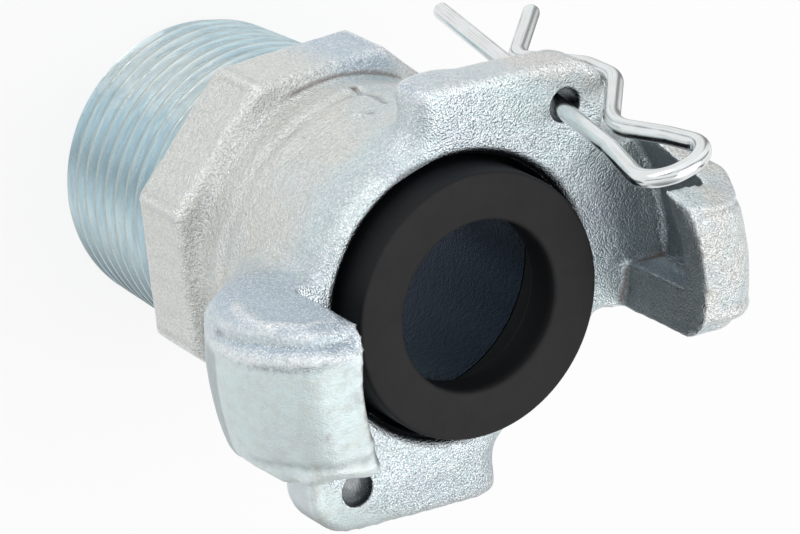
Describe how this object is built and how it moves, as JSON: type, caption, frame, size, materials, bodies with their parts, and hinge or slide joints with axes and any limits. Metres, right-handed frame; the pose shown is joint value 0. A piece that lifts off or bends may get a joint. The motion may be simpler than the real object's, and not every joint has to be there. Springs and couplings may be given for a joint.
{
  "type": "universal hose coupling",
  "caption": "Claw-type air hose coupling with a male taper pipe thread, spanner flats, a rubber face washer and a wire safety clip.",
  "frame": {"origin": "centre of the male thread's end face, which the coupling stands on", "axes": "+Z along the bore, from the thread's end to the face that meets the other coupling; the claws lie on +X and -X and the lock holes at 45 and 225 degrees"},
  "size_m": [0.0592, 0.0456, 0.079],
  "materials": {
    "coupling_body": "zinc plated, as cast",
    "sealing_washer": "matt moulded",
    "safety_clip": "bright zinc plated"
  },
  "bodies": {
    "root": {"coupling_body": "coupling_body", "sealing_washer": "sealing_washer", "safety_clip": "safety_clip"}
  },
  "joints": []
}
